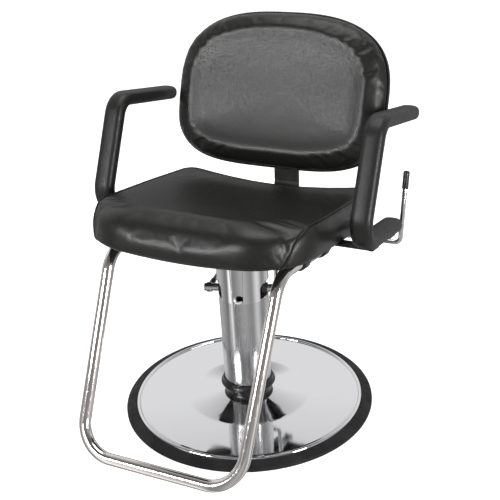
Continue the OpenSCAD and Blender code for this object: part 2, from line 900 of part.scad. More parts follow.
module arm_left() {
    arm(1);
}

module arm_right() {
    arm(-1);
}

module arm_core(side) {
    color("gray") in_seat() mirror([side > 0 ? 0 : 1, 0, 0]) difference() {
        arm_core_shape();
        for (y = [front_strap_y, rear_strap_y])
            bar_z(strap_top - through, arm_low_z + core_t, arm_x, y, arm_bolt_r);
    }
}

module arm_core_left() {
    arm_core(1);
}

module arm_core_right() {
    arm_core(-1);
}

module arm_bolts() {
    color("silver") in_seat()
        for (x = [-arm_x, arm_x], y = [front_strap_y, rear_strap_y])
            hex_bolt(x, y, strap_z, arm_low_z + core_t / 2 - joint_step, arm_bolt_r, 7, 5);
}

// Footrest: one bent tube, clamped under the seat frame
function foot_path(extra) = [
    [-foot_half_w, foot_rear_y + extra, foot_z], mirrored(foot_corner), mirrored(foot_low),
    foot_low, foot_corner, [foot_half_w, foot_rear_y + extra, foot_z]];
foot_bends = [foot_top_bend, foot_low_bend, foot_low_bend, foot_top_bend];

module footrest() {
    color("silver") in_seat() difference() {
        bent_rod(foot_path(0), foot_bends, foot_r);
        bent_rod(foot_path(through), foot_bends, foot_r - foot_wall);
    }
}

module foot_clamps() {
    color("#202020") in_seat()
        for (x = [-foot_half_w, foot_half_w], y = [foot_strap_y, front_strap_y])
            difference() {
                union() {
                    bar_y(y - clamp_half_y, y + clamp_half_y, x, foot_z, foot_r + clamp_wall);
                    block([x - foot_r - clamp_wall, y - clamp_half_y, foot_z],
                        [x + foot_r + clamp_wall, y + clamp_half_y, strap_z]);
                    block([x - clamp_half_x, y - clamp_half_y, clamp_z],
                        [x + clamp_half_x, y + clamp_half_y, strap_z]);
                }
                bar_y(y - clamp_half_y - through, y + clamp_half_y + through, x, foot_z, foot_r);
                foot_holes(y);
            }
}

module clamp_screws() {
    color("silver") in_seat()
        for (x = [-foot_half_w, foot_half_w], y = [foot_strap_y, front_strap_y],
            dx = [-clamp_screw_x, clamp_screw_x])
            dome_screw(x + dx, y, clamp_z, -0.5, clamp_screw_r, screw_head_h);
}

module foot_plugs() {
    color("#181818") in_seat() for (x = [-foot_half_w, foot_half_w]) {
        bar_y(foot_rear_y - plug_len, foot_rear_y, x, foot_z,
            foot_r - foot_wall - joint_step);
        bar_y(foot_rear_y, foot_rear_y + 3, x, foot_z, foot_r);
    }
}

// Recline hinge
module hinge_bracket() {
    color("#282828") in_seat() difference() {
        union() {
            block([-rail_x - rail_w / 2, rail_rear, pivot_z - ear_r],
                [rail_x + rail_w / 2, rail_rear + bracket_t, strap_z]);
            for (side = [0, 1]) mirror([side, 0, 0]) {
                block([ear_in, rail_rear, pivot_z - ear_r], [ear_out, pivot_y, pivot_z + ear_r]);
                bar_x(ear_in, ear_out, pivot_y, pivot_z, ear_r);
            }
        }
        bar_x(-pin_half, pin_half, pivot_y, pivot_z, pin_r);
    }
}

module hinge_pin() {
    color("silver") in_seat() difference() {
        bar_x(-pin_half, pin_half, pivot_y, pivot_z, pin_r);
        for (side = [0, 1]) mirror([side, 0, 0]) translate([0, pivot_y, pivot_z])
            rotate([0, 90, 0]) ring_z(ear_out, ear_out + clip_t, pin_r + 1, pin_r - 1.5);
    }
}

module pin_clips() {
    color("gray") in_seat() for (side = [0, 1]) mirror([side, 0, 0])
        translate([0, pivot_y, pivot_z]) rotate([0, 90, 0])
        ring_z(ear_out, ear_out + clip_t, pin_r + 4, pin_r - 1.5);
}

// Recline lock: a tube fixed to the seat frame and a rod that follows the backrest
module lock_bracket() {
    front = lock_tube_front - 6;
    color("#282828") in_seat() {
        block([rail_w / 2 - rail_x, front, rail_z + 2],
            [rail_x - rail_w / 2, front + 24, rail_z + 7]);
        for (side = [0, 1]) mirror([side, 0, 0])
            block([lock_ear_in, front, lock_z - 9],
                [lock_ear_in + lock_ear_t, front + 14, rail_z + 2]);
        bar_x(-lock_ear_in, lock_ear_in, front + 7, lock_z, lock_pin_r);
    }
}

module lock_tube() {
    lug = lock_tube_front - 7;
    color("gray") in_seat() difference() {
        union() {
            bar_y(lock_tube_front + 10, lock_tube_rear, 0, lock_z, lock_tube_r);
            block([-5, lug, lock_z - 8], [5, lock_tube_front + 12, lock_z + 8]);
        }
        bar_y(lock_tube_front + 16, lock_tube_rear - lock_cap_t, 0, lock_z, lock_bore_r);
        bar_y(lock_tube_rear - lock_cap_t - through, lock_tube_rear + through, 0, lock_z,
            lock_rod_r + run_gap);
        bar_x(-lock_tube_r, lock_tube_r, lock_tube_front + 1, lock_z, lock_pin_r);
    }
}

module lock_rod() {
    rod_end = lock_tube_front + 16 + tongue_len * sin(recline_max) + 4;
    color("silver") in_seat() difference() {
        union() {
            bar_y(rod_end, pivot_y - 18, 0, lock_z, lock_rod_r);
            block([-fork_out, pivot_y - 24, lock_z - 9], [fork_out, pivot_y - 16, lock_z + 9]);
            for (side = [0, 1]) mirror([side, 0, 0])
                block([fork_in, pivot_y - 24, lock_z - 9], [fork_out, pivot_y + 9, lock_z + 15]);
        }
        for (z = [lock_z, lock_z + lock_rise])
            bar_x(-fork_out - through, fork_out + through, pivot_y, z, lock_pin_r + lock_slack);
        block([-fork_out - through, pivot_y - lock_pin_r - lock_slack, lock_z],
            [fork_out + through, pivot_y + lock_pin_r + lock_slack, lock_z + lock_rise]);
    }
}

// Upright bar: a flat bar that rises from the hinge and lies along the rear shell
module back_upright() {
    half_t = bar_t / 2 / cos(back_rake);
    bar_y0 = pivot_y + knuckle_r - bar_t / 2;
    centre = [
        [bar_y0, pivot_z], [bar_y0, bar_low_z],
        back_point(shell_depth + bar_t / 2, bar_meet_s),
        back_point(shell_depth + bar_t / 2, bar_top_s)];
    front = [for (p = centre) p - [half_t, 0]];
    rear = [for (k = [3 : -1 : 0]) centre[k] + [half_t, 0]];
    color("#202020") difference() {
        in_seat() union() {
            across(-bar_w / 2, bar_w / 2) polygon(concat(front, rear));
            bar_x(-knuckle_half, knuckle_half, pivot_y, pivot_z, knuckle_r);
            block([-tongue_half, pivot_y - tongue_r, lock_z],
                [tongue_half, pivot_y + tongue_r, pivot_z]);
            bar_x(-tongue_half, tongue_half, pivot_y, lock_z, tongue_r);
        }
        in_seat() bar_x(-knuckle_half - through, knuckle_half + through, pivot_y, pivot_z,
            pin_r + run_gap);
        in_seat() for (side = [0, 1]) mirror([side, 0, 0])
            bar_x(knuckle_half - bush_len, knuckle_half + through, pivot_y, pivot_z, bush_r);
        in_seat() bar_x(-tongue_half - through, tongue_half + through, pivot_y, lock_z, lock_pin_r);
        in_back() at_back_bolts()
            bar_y(shell_depth - through, shell_depth + bar_t + through, 0, 0, back_bolt_r + 0.25);
    }
}

module hinge_bushes() {
    color("ivory") in_seat() for (side = [0, 1]) mirror([side, 0, 0])
        translate([0, pivot_y, pivot_z]) rotate([0, 90, 0])
        ring_z(knuckle_half - bush_len, knuckle_half, bush_r, pin_r + run_gap);
}

module lock_pin() {
    color("silver") in_seat()
        bar_x(-fork_out - 3, fork_out + 3, pivot_y, lock_z, lock_pin_r);
}

// Backrest: board, block, rear shell and cushion
module at_back_bolts() {
    for (x = [-back_bolt_x, back_bolt_x], s = [back_bolt_low, back_bolt_high])
        translate([x, 0, s]) children();
}

module back_board() {
    color("#c9a36a") in_back() difference() {
        fore_aft(0, back_board_t) polygon(back_outline(shell_wall + 1));
        at_back_bolts() bar_y(2, back_board_t + through, 0, 0, back_bolt_r);
    }
}

module mounting_block() {
    color("#c9a36a") in_back() difference() {
        block([-block_half_x, back_board_t, back_bolt_low - 24],
            [block_half_x, shell_depth - shell_wall, back_bolt_high + 24]);
        at_back_bolts() bar_y(back_board_t - through, shell_depth, 0, 0, back_bolt_r);
    }
}

module shell_form(inset) {
    hull() {
        fore_aft(0, shell_side) polygon(back_outline(inset));
        fore_aft(shell_side, shell_depth - inset) polygon(back_outline(shell_inset + inset));
    }
}

module back_shell() {
    color("#1c1c1c") in_back() difference() {
        shell_form(0);
        shell_form(shell_wall);
        fore_aft(-through, 0.5) polygon(back_outline(shell_wall));
        at_back_bolts() bar_y(back_board_t, shell_depth + through, 0, 0, back_bolt_r + 0.25);
    }
}

module back_cushion() {
    color("#2a2826") in_back() fore_aft(-back_pad_t, 0) polygon(back_outline(0));
}

module back_bolts() {
    color("silver") in_back() at_back_bolts() {
        bar_y(2, shell_depth + bar_t, 0, 0, back_bolt_r);
        translate([0, shell_depth + bar_t + 5, 0]) rotate([90, 0, 0])
            cylinder(r = 7, h = 5, $fn = 6);
    }
}

// Release lever
release_path = [
    [release_in, release_y, release_z], [release_x, release_y, release_z],
    [release_x, release_y + lever_h * sin(release_lean), release_z + lever_h * cos(release_lean)]];

module recline_lever() {
    color("silver") in_seat() {
        bent_rod(release_path, [release_bend], release_r);
        block([release_in, release_y - 4, release_z - 16],
            [release_in + 6, release_y + 4, release_z]);
    }
}

module lever_grip() {
    tip = release_path[2];
    color("#181818") in_seat() translate(tip) rotate([-release_lean, 0, 0]) difference() {
        union() {
            bar_z(2.5 - grip_len, 0.5, 0, 0, grip_r);
            bar_z(0.5, 2.5, 0, 0, grip_r - 2);
        }
        bar_z(-grip_len, 0, 0, 0, release_r);
    }
}

module lever_hangers() {
    color("#282828") in_seat() difference() {
        union() {
            block([rail_x - hanger_t / 2, release_y - hanger_half, release_z - hanger_half],
                [rail_x + hanger_t / 2, release_y + hanger_half, rail_z]);
            block([hanger_x - hanger_t, release_y - hanger_half, release_z - hanger_half],
                [hanger_x, release_y + hanger_half, -dust_t]);
            block([hanger_x - 30, release_y - hanger_half, -dust_t - 4],
                [hanger_x, release_y + hanger_half, -dust_t]);
        }
        bar_x(0, hanger_x + through, release_y, release_z, release_r + run_gap);
    }
}

base_pad();
base_ring();
base_weight();
base_dish();
base_bolts();
column_foot();
column_tube();
pump_cylinder();
pump_head();
pump_gland();
ram_wiper();
pump_cover();
pump_shaft_left();
pump_shaft_right();
cam_finger();
lever_sockets();
pump_lever();
pedal_pad();
pump_plunger();
ram();
ram_piston();
piston_seal();
thrust_washer();
seat_mount();
mount_bolts();
rail_left();
rail_right();
foot_cross();
arm_strap_front();
arm_strap_rear();
seat_board();
board_bolts();
dust_cover();
seat_cushion();
arm_left();
arm_right();
arm_core_left();
arm_core_right();
arm_bolts();
footrest();
foot_clamps();
clamp_screws();
foot_plugs();
hinge_bracket();
hinge_pin();
pin_clips();
lock_bracket();
lock_tube();
lever_hangers();
lock_rod();
back_upright();
hinge_bushes();
lock_pin();
back_board();
mounting_block();
back_shell();
back_cushion();
back_bolts();
recline_lever();
lever_grip();
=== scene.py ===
import math

import bmesh
import bpy
import numpy as np
from mathutils import Matrix, Vector
from mathutils.bvhtree import BVHTree


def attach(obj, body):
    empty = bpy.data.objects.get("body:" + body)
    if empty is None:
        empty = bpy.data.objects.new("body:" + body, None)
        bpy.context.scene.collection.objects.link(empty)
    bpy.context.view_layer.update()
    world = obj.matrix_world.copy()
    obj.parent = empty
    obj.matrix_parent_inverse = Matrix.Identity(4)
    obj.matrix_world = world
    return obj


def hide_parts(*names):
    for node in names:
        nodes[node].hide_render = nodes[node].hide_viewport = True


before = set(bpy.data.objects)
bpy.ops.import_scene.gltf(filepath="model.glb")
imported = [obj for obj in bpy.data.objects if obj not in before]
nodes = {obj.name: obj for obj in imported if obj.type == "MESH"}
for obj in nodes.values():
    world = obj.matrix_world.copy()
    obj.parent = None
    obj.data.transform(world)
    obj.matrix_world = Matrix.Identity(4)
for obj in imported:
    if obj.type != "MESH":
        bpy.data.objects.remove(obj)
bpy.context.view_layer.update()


# --------------------------------------------------------------------------
# Rubber ring and centre pad. The ring is moulded in matt black rubber and
# pressed round the edge of the base; the pad sits under the column. Together
# they carry the chair and keep the steel off the floor.
MM = 0.001


def finish(name, colour, roughness, metallic=0.0):
    """A surface finish, with its plain values on the shader itself."""
    material = bpy.data.materials.new(name)
    material.use_nodes = True
    shader = material.node_tree.nodes["Principled BSDF"]
    shader.inputs["Base Color"].default_value = (*colour, 1.0)
    shader.inputs["Roughness"].default_value = roughness
    shader.inputs["Metallic"].default_value = metallic
    return material


def add(material, kind, **values):
    made = material.node_tree.nodes.new("ShaderNode" + kind)
    for socket, value in values.items():
        made.inputs[socket.replace("_", " ")].default_value = value
    return made


def link(material, source, target):
    material.node_tree.links.new(source, target)


def socket_of(material, name):
    return material.node_tree.nodes["Principled BSDF"].inputs[name]


def pattern(material, kind, size, stretch=(1, 1, 1), detail=2.0):
    """A pattern on the piece whose features are about size millimetres."""
    place = add(material, "TexCoord")
    scale = add(material, "Mapping")
    scale.inputs["Scale"].default_value = [s / (size * MM) for s in stretch]
    link(material, place.outputs["Object"], scale.inputs["Vector"])
    if kind == "noise":
        made = add(material, "TexNoise", Scale=1.0, Detail=detail)
        out = made.outputs["Fac"]
    else:
        made = add(material, "TexVoronoi", Scale=1.0)
        made.feature = kind
        out = made.outputs["Distance"]
    link(material, scale.outputs["Vector"], made.inputs["Vector"])
    return out


def spread(material, source, low, high, start, end):
    """Turns a pattern's start..end into low..high."""
    made = add(material, "MapRange")
    for socket, value in (
        ("From Min", start),
        ("From Max", end),
        ("To Min", low),
        ("To Max", high),
    ):
        made.inputs[socket].default_value = value
    link(material, source, made.inputs["Value"])
    return made.outputs["Result"]


def vary_gloss(material, source, low, high, start=0.35, end=0.65):
    link(
        material,
        spread(material, source, low, high, start, end),
        socket_of(material, "Roughness"),
    )


def vary_colour(material, source, dark, light, start=0.35, end=0.65):
    ramp = add(material, "ValToRGB")
    ramp.color_ramp.elements[0].position = start
    ramp.color_ramp.elements[0].color = (*dark, 1.0)
    ramp.color_ramp.elements[1].position = end
    ramp.color_ramp.elements[1].color = (*light, 1.0)
    link(material, source, ramp.inputs["Fac"])
    link(material, ramp.outputs["Color"], socket_of(material, "Base Color"))


def emboss(material, source, depth):
    """Raises the surface by depth millimetres where the pattern is light."""
    bump = add(material, "Bump", Distance=depth * MM)
    normal = socket_of(material, "Normal")
    if normal.links:
        link(material, normal.links[0].from_socket, bump.inputs["Normal"])
    link(material, source, bump.inputs["Height"])
    link(material, bump.outputs["Normal"], normal)


def wear(material, *names):
    """Gives these CAD nodes their finish."""
    for name in names:
        nodes[name].data.materials.clear()
        nodes[name].data.materials.append(material)


def piece(name, points, faces, material, body, slot, replaced=(), crease=38):
    """A mesh piece in millimetres of the row frame, placed on its body."""
    mesh = bpy.data.meshes.new(name)
    mesh.from_pydata([Vector(p) * MM for p in points], [], faces)
    shape = bmesh.new()
    shape.from_mesh(mesh)
    bmesh.ops.recalc_face_normals(shape, faces=shape.faces)
    shape.to_mesh(mesh)
    shape.free()
    mesh.shade_smooth()
    mesh.set_sharp_from_angle(angle=math.radians(crease))
    mesh.materials.append(material)
    made = bpy.data.objects.new(name, mesh)
    bpy.context.scene.collection.objects.link(made)
    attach(made, body)
    if replaced:
        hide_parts(*replaced)
    return made


def loft(rings, looped=False):
    """Quads between closed rings of points; open ends get a middle point."""
    count = len(rings[0])
    points = [p for ring in rings for p in ring]
    faces = []
    for k in range(len(rings) - (0 if looped else 1)):
        a, b = k * count, (k + 1) % len(rings) * count
        for i in range(count):
            j = (i + 1) % count
            faces.append((a + i, a + j, b + j, b + i))
    if not looped:
        for ring, start in ((rings[0], 0), (rings[-1], (len(rings) - 1) * count)):
            points.append(sum((Vector(p) for p in ring), Vector()) / count)
            for i in range(count):
                faces.append((start + i, start + (i + 1) % count, len(points) - 1))
    return points, faces


def turned(profile, turns, place=Matrix.Identity(4)):
    """A closed profile of (radius, height) spun round the upright axis."""
    rings = []
    for k in range(turns):
        a = 2 * math.pi * k / turns
        rings.append(
            [place @ Vector((r * math.cos(a), r * math.sin(a), z)) for r, z in profile]
        )
    return loft(rings, looped=True)


def bow(centre, radius, start, end, steps):
    """Points of an arc in a profile, from one angle to another."""
    angles = [math.radians(start + (end - start) * k / steps) for k in range(steps + 1)]
    return [
        (centre[0] + radius * math.cos(a), centre[1] + radius * math.sin(a))
        for a in angles
    ]


rubber = finish("moulded_rubber", (0.014, 0.014, 0.014), 0.66)
socket_of(rubber, "Specular IOR Level").default_value = 0.3
rubber_skin = pattern(rubber, "noise", 0.8, detail=4)
vary_gloss(rubber, pattern(rubber, "noise", 24), 0.52, 0.74)
vary_colour(
    rubber, pattern(rubber, "noise", 60), (0.010, 0.010, 0.010), (0.020, 0.0195, 0.019)
)
emboss(rubber, rubber_skin, 0.12)

RING_OUTER = 305
DISH_RIM = 279
ring_profile = (
    [(DISH_RIM, 0.6), (DISH_RIM + 0.6, 0), (300, 0), (303, 0.4)]
    + bow((RING_OUTER - 2, 2.4), 2, -50, 0, 4)
    + bow((RING_OUTER - 2.5, 6.6), 2.5, 10, 72, 6)
    + [(298, 10.9), (293, 12.7), (287, 14.7)]
    + bow((282.5, 14.6), 2, 70, 110, 4)
    + [(280.2, 16.2), (DISH_RIM, 15.2)]
)
piece(
    "floor_ring",
    *turned(ring_profile, 240),
    rubber,
    "base",
    "rubber",
    ["base_ring"],
)
wear(rubber, "base_pad")


# --------------------------------------------------------------------------
# Weight plate and base bolts. The plate is a rough iron casting that hides
# under the dish, and four zinc-plated bolts hold the pump cylinder to it.
cast_iron = finish("cast_iron", (0.060, 0.058, 0.055), 0.72, 0.55)
vary_colour(
    cast_iron,
    pattern(cast_iron, "noise", 18, detail=5),
    (0.040, 0.038, 0.036),
    (0.085, 0.080, 0.074),
)
emboss(cast_iron, pattern(cast_iron, "noise", 3, detail=5), 0.5)
wear(cast_iron, "base_weight")

zinc = finish("plated_steel", (0.62, 0.63, 0.65), 0.30, 1.0)
vary_gloss(zinc, pattern(zinc, "noise", 5, detail=4), 0.22, 0.42)
emboss(zinc, pattern(zinc, "noise", 1.2, (1, 1, 0.1)), 0.015)
wear(zinc, "base_bolts")


# --------------------------------------------------------------------------
# Dish. It is spun from sheet steel, polished and chromed: a shallow saucer
# that sweeps up to the column, with a rolled bead at its rim and a fine
# groove just inside the bead.
chrome = finish("bright_chrome", (0.80, 0.80, 0.815), 0.05, 1.0)
vary_gloss(chrome, pattern(chrome, "noise", 35, detail=4), 0.035, 0.085)
emboss(chrome, pattern(chrome, "noise", 90), 0.25)

FLARE_START = 150
NECK = 50.1
DISH_SHEET = 1.6


def dish_height(r):
    rise = 17 + 5 * (1 - (r / DISH_RIM) ** 2)
    if r < FLARE_START:
        rise += 18 * ((FLARE_START - r) / (FLARE_START - NECK)) ** 1.15
    return rise


radii = [NECK + (268 - NECK) * (k / 60) ** 1.25 for k in range(61)]
top_face = [(r, dish_height(r)) for r in radii]
bead = (
    [(268.9, 16.9), (269.8, 16.6), (270.6, 17.1)]
    + bow((274.9, 16.2), 4.4, 160, 8, 14)
    + [(279.4, 15.2), (278.6, 14.6)]
)
under_face = [(r, dish_height(r) - DISH_SHEET) for r in reversed(radii)]
piece(
    "chromed_dish",
    *turned(top_face + bead + under_face, 288),
    chrome,
    "base",
    "chrome",
    ["base_dish"],
)


# --------------------------------------------------------------------------
# Column. A polished steel tube, a little wider at its top, stands in a black
# moulded foot ring with a waist below it and a rounded bead round it.
gloss_black = finish("gloss_black_plastic", (0.012, 0.012, 0.012), 0.24)
vary_gloss(gloss_black, pattern(gloss_black, "noise", 12, detail=4), 0.18, 0.34)
emboss(gloss_black, pattern(gloss_black, "noise", 2), 0.02)
foot_profile = (
    [(57.3, 44), (55.4, 41.2), (54.6, 39.6), (56.2, 38.6)]
    + [(57.4, 40.5), (57.6, 43.4), (58.8, 46.6), (61.4, 49.6)]
    + bow((63.2, 55.2), 3.6, -48, 52, 10)
    + [(63.6, 60.6), (62.2, 63.2), (61.6, 66.2)]
    + bow((60.3, 67.0), 1.0, 10, 160, 6)
    + [(57.5, 66.8)]
)
piece(
    "column_foot_ring",
    *turned(foot_profile, 144),
    gloss_black,
    "base",
    "rubber",
    ["column_foot"],
)

brushed = finish("polished_tube", (0.66, 0.66, 0.67), 0.17, 1.0)
vary_gloss(
    brushed, pattern(brushed, "noise", 7, (1, 1, 0.06), detail=5), 0.12, 0.30
)
emboss(brushed, pattern(brushed, "noise", 0.7, (1, 1, 0.012), detail=3), 0.012)
emboss(brushed, pattern(brushed, "noise", 26, (1, 1, 0.5)), 0.10)
TUBE_FOOT, TUBE_TOP = 46.0, 297.0
FOOT_R, TOP_R, TUBE_WALL = 57.1, 59.8, 2.5


def tube_r(z):
    return FOOT_R + (TOP_R - FOOT_R) * (z - TUBE_FOOT) / (TUBE_TOP - TUBE_FOOT)


tube_levels = [TUBE_FOOT + (TUBE_TOP - 1 - TUBE_FOOT) * k / 24 for k in range(25)]
tube_profile = (
    [(tube_r(z), z) for z in tube_levels]
    + bow((TOP_R - 1.2, TUBE_TOP - 1.2), 1.2, 0, 180, 8)
    + [(tube_r(z) - TUBE_WALL, z) for z in reversed(tube_levels)]
)
piece(
    "column_sleeve",
    *turned(tube_profile, 160),
    brushed,
    "base",
    "polished_tube",
    ["column_tube"],
)


# --------------------------------------------------------------------------
# Pump. The steel cylinder, iron head, bronze gland, rubber wiper and the
# hard-chromed ram inside the column, with the piston and its seal.
bronze = finish("bearing_bronze", (0.62, 0.42, 0.20), 0.34, 1.0)
vary_colour(
    bronze,
    pattern(bronze, "noise", 9, detail=4),
    (0.50, 0.33, 0.15),
    (0.68, 0.47, 0.23),
)
emboss(bronze, pattern(bronze, "noise", 0.9, (1, 1, 0.1)), 0.01)
ground = finish("ground_steel", (0.70, 0.71, 0.73), 0.14, 1.0)
vary_gloss(ground, pattern(ground, "noise", 6, (1, 1, 0.1), detail=4), 0.10, 0.22)
emboss(ground, pattern(ground, "noise", 0.5, (0.05, 0.05, 1)), 0.006)
black_metal = finish("powder_coated_steel", (0.016, 0.016, 0.017), 0.42)
vary_gloss(black_metal, pattern(black_metal, "noise", 14, detail=4), 0.34, 0.52)
vary_colour(
    black_metal,
    pattern(black_metal, "noise", 30, detail=4),
    (0.013, 0.013, 0.013),
    (0.024, 0.023, 0.022),
)
emboss(black_metal, pattern(black_metal, "noise", 1.4, detail=3), 0.05)
wear(cast_iron, "pump_head", "ram_piston")
wear(zinc, "pump_cylinder", "pump_plunger", "cam_finger")
wear(bronze, "pump_gland", "thrust_washer")
wear(rubber, "ram_wiper", "piston_seal")
wear(ground, "ram")


# --------------------------------------------------------------------------
# Pump cover and lever. The cover is a drawn and chromed cap with openings
# for the two lever shafts; the lever is a bent chromed rod pushed into dark
# sockets on the shafts, with a rubber pad at its far end.
wear(chrome, "pump_cover", "pump_shaft_left", "pump_shaft_right", "pump_lever")
wear(gloss_black, "lever_sockets")
wear(rubber, "pedal_pad")


# --------------------------------------------------------------------------
# Seat frame. The mount turns on the ram and carries two steel rails; flat
# straps cross them for the footrest and the arms. All of it is welded or
# bolted steel with a black powder coat.
def eased(width, *names):
    """Softens the cut edges of these CAD nodes by width millimetres."""
    for name in names:
        weld = nodes[name].modifiers.new("weld", "WELD")
        weld.merge_threshold = 0.00002
        bevel = nodes[name].modifiers.new("eased", "BEVEL")
        bevel.width = width * MM
        bevel.segments = 2
        bevel.limit_method = "ANGLE"
        bevel.angle_limit = math.radians(50)
        bevel.harden_normals = True


wear(
    black_metal,
    "seat_mount",
    "rail_left",
    "rail_right",
    "foot_cross",
    "arm_strap_front",
    "arm_strap_rear",
)
wear(zinc, "mount_bolts", "board_bolts", "arm_bolts")
eased(0.8, "rail_left", "rail_right", "foot_cross", "arm_strap_front", "arm_strap_rear")


# --------------------------------------------------------------------------
# Seat board and dust cover. A plywood board is let into the cushion's
# underside, and a black non-woven cloth is stapled over it.
plywood = finish("birch_plywood", (0.52, 0.36, 0.21), 0.62)
vary_colour(
    plywood,
    pattern(plywood, "noise", 5, (1, 0.06, 1), detail=5),
    (0.42, 0.27, 0.14),
    (0.60, 0.43, 0.26),
)
emboss(plywood, pattern(plywood, "noise", 1.5, (1, 0.05, 1), detail=4), 0.08)
dust_cloth = finish("dust_cloth", (0.014, 0.014, 0.014), 0.92)
vary_colour(
    dust_cloth,
    pattern(dust_cloth, "noise", 2.2, detail=5),
    (0.008, 0.008, 0.008),
    (0.030, 0.030, 0.030),
)
emboss(dust_cloth, pattern(dust_cloth, "noise", 1.1, detail=5), 0.16)
wear(plywood, "seat_board", "back_board", "mounting_block")
wear(dust_cloth, "dust_cover")


# --------------------------------------------------------------------------
# Seat cushion. Foam on the board under a sewn vinyl cover: one panel runs
# over the dished top and rolls down the front, and the two sides and the
# rear are one band, joined to it by a corded seam that drops round each
# front corner.
SEAT_TILT = math.radians(-9.5)
SEAT_BASE = 466
seat_place = Matrix.Translation((0, 0, SEAT_BASE)) @ Matrix.Rotation(SEAT_TILT, 4, "X")

vinyl = finish("black_vinyl", (0.009, 0.0087, 0.0080), 0.42)
socket_of(vinyl, "Specular IOR Level").default_value = 0.42
grain_cells = pattern(vinyl, "F1", 1.5)
vary_gloss(vinyl, pattern(vinyl, "noise", 4, detail=5), 0.31, 0.45, 0.3, 0.7)
vary_colour(
    vinyl,
    pattern(vinyl, "noise", 2.6, detail=5),
    (0.0062, 0.0060, 0.0055),
    (0.0110, 0.0106, 0.0097),
    0.3,
    0.7,
)
emboss(vinyl, pattern(vinyl, "noise", 30, detail=3), 0.35)
emboss(vinyl, grain_cells, 0.10)


def smooth_line(points, steps):
    """Points of a smooth curve through these ones, steps to each gap."""
    p = [Vector(q) for q in points]
    last = len(p) - 1
    made = []
    for i in range(last):
        a, b, c, d = (p[min(max(i + k, 0), last)] for k in (-1, 0, 1, 2))
        for s in range(steps):
            t = s / steps
            made.append(
                0.5
                * (
                    2 * b
                    + (c - a) * t
                    + (2 * a - 5 * b + 4 * c - d) * t * t
                    + (3 * b - a - 3 * c + d) * t**3
                )
            )
    made.append(p[-1])
    return made


def ease(value, start, end):
    t = min(max((value - start) / (end - start), 0.0), 1.0)
    return t * t * (3 - 2 * t)


def seat_plan(count):
    """Even points round the seat's outline with their outward direction."""
    half, front, rear, front_r, rear_r = 262, 300, 220, 135, 45
    dense = []
    for cx, cy, r, a0 in (
        (half - rear_r, rear - rear_r, rear_r, 0),
        (rear_r - half, rear - rear_r, rear_r, 90),
        (front_r - half, front_r - front, front_r, 180),
        (half - front_r, front_r - front, front_r, 270),
    ):
        for k in range(25):
            a = math.radians(a0 + 90 * k / 24)
            c, s = math.cos(a), math.sin(a)
            dense.append((cx + r * c, cy + r * s, c, s))
    dense.append(dense[0])
    d = np.array(dense)
    along = np.concatenate([[0], np.cumsum(np.hypot(*np.diff(d[:, :2], axis=0).T))])
    at = np.linspace(0, along[-1], count, endpoint=False)
    return np.stack([np.interp(at, along, d[:, k]) for k in range(4)], 1)


SEAM_IN = 13
side_profile = [(72, 76), (55, 77), (36, 77.6), (22, 77.4), (SEAM_IN, 76)]
side_profile += [(7, 72.5), (3, 66), (0.8, 56), (0, 45), (0, 32), (1, 20), (3, 10)]
side_profile += [(7, 3), (13, 0.4), (18, 0.2), (20.4, 2), (22, 12.4)]
front_profile = [(84, 76), (66, 76.6), (50, 76.2), (36.5, 74.6), (24.5, 70.4)]
front_profile += [(14.4, 63.2), (6.9, 53.6), (2.2, 42.4), (0, 30), (0, 16)]
front_profile += [(0.6, 3), (3, -7), (9, -14.2), (20, -18), (36, -18), (43, -9), (47, 12.4)]
TOP = 76
LIP_HALF = 245
MIDDLE_Y = -40
TOP_RINGS = 12


def seat_top(x, y):
    """How far the top panel is sunk below the seams."""
    sink = np.interp(y, [-290, -225, -120, 60, 180, 220], [0, 2.5, 11, 16, 19, 19])
    across = max(0.0, 1 - (x / 232) ** 2)
    rise = 3.0 * ease(y, -180, 60)
    return rise - sink * across**1.15


side_line = smooth_line([(*p, 0) for p in side_profile], 3)
front_line = smooth_line([(*p, 0) for p in front_profile], 3)
outline = seat_plan(260)
seat_rings = []
for s, f in zip(side_line, front_line):
    ring = []
    for x, y, nx, ny in outline:
        share = ease(-y, 185, 268)
        inset, z = s.lerp(f, share)[:2]
        px, py = x - nx * inset, y - ny * inset
        z += seat_top(px, py) * ease(z, 44, 72) if z > 40 else 0
        if z < 0:
            z *= max(0.0, 1 - (px / LIP_HALF) ** 2)
        ring.append(Vector((px, py, z)))
    seat_rings.append(ring)
inner = seat_rings[0]
top_rings = []
for k in range(1, TOP_RINGS + 1):
    ring = []
    for p in inner:
        q = p.lerp(Vector((0, MIDDLE_Y, p.z)), k / (TOP_RINGS + 1))
        ring.append(Vector((q.x, q.y, TOP + seat_top(q.x, q.y))))
    top_rings.insert(0, ring)
seat_mesh = loft(
    [[seat_place @ p for p in ring] for ring in top_rings + seat_rings]
)


def remeshed(name, points, faces, voxel):
    """An even mesh of the same form, ready to be swelled."""
    mesh = bpy.data.meshes.new(name)
    mesh.from_pydata([Vector(p) * MM for p in points], [], faces)
    shape = bmesh.new()
    shape.from_mesh(mesh)
    bmesh.ops.recalc_face_normals(shape, faces=shape.faces)
    shape.to_mesh(mesh)
    shape.free()
    made = bpy.data.objects.new(name, mesh)
    bpy.context.scene.collection.objects.link(made)
    remesh = made.modifiers.new("even", "REMESH")
    remesh.mode = "VOXEL"
    remesh.voxel_size = voxel * MM
    bpy.context.view_layer.update()
    graph = bpy.context.evaluated_depsgraph_get()
    even = bpy.data.meshes.new_from_object(made.evaluated_get(graph))
    made.modifiers.clear()
    made.data = even
    return made


def coordinates(mesh):
    co = np.zeros(len(mesh.vertices) * 3, np.float32)
    mesh.vertices.foreach_get("co", co)
    return co.reshape(-1, 3)


